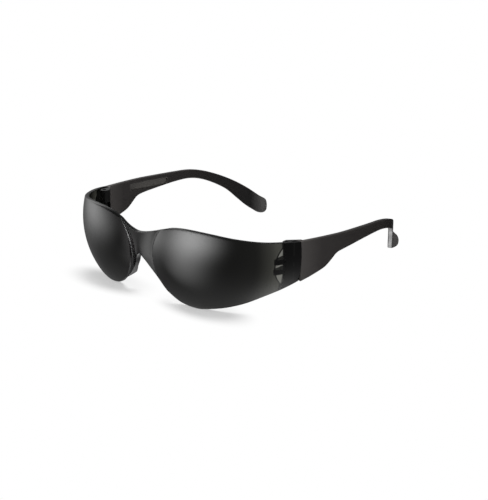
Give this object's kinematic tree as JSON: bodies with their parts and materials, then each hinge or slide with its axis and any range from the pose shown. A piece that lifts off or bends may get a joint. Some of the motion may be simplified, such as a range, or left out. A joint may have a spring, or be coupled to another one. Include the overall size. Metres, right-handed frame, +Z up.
{
  "type": "tinted wraparound safety glasses",
  "caption": "Frameless wraparound safety glasses: a smoked lens front moulded in one piece with bridge and nose flanges, and curved dark temples that fold inwards on hidden hinge pins.",
  "frame": {"origin": "on the table, under the middle of the unfolded glasses' bounding box", "axes": "+Z up; +X towards the wearer's left; -Y the way the wearer looks, so the lens front is at -Y and the temples run back along +Y"},
  "size_m": [0.1462, 0.158, 0.0433],
  "materials": {
    "smoked_lens": "polished smoked polycarbonate",
    "temple_plastic": "satin charcoal",
    "pin_metal": "darkened plain"
  },
  "bodies": {
    "front": {"lens_front": "smoked_lens", "hinge_pin_left": "pin_metal", "hinge_pin_right": "pin_metal"},
    "left_arm": {"temple_left": "temple_plastic"},
    "right_arm": {"temple_right": "temple_plastic"}
  },
  "joints": [
    {"name": "left_fold", "type": "hinge", "parent": "front", "child": "left_arm", "pos_m": [0.0648, -0.03963, 0.026], "axis": [0, 0, 1], "range_deg": [0, 88]},
    {"name": "right_fold", "type": "hinge", "parent": "front", "child": "right_arm", "pos_m": [-0.0648, -0.03963, 0.026], "axis": [0, 0, -1], "range_deg": [0, 82]}
  ]
}
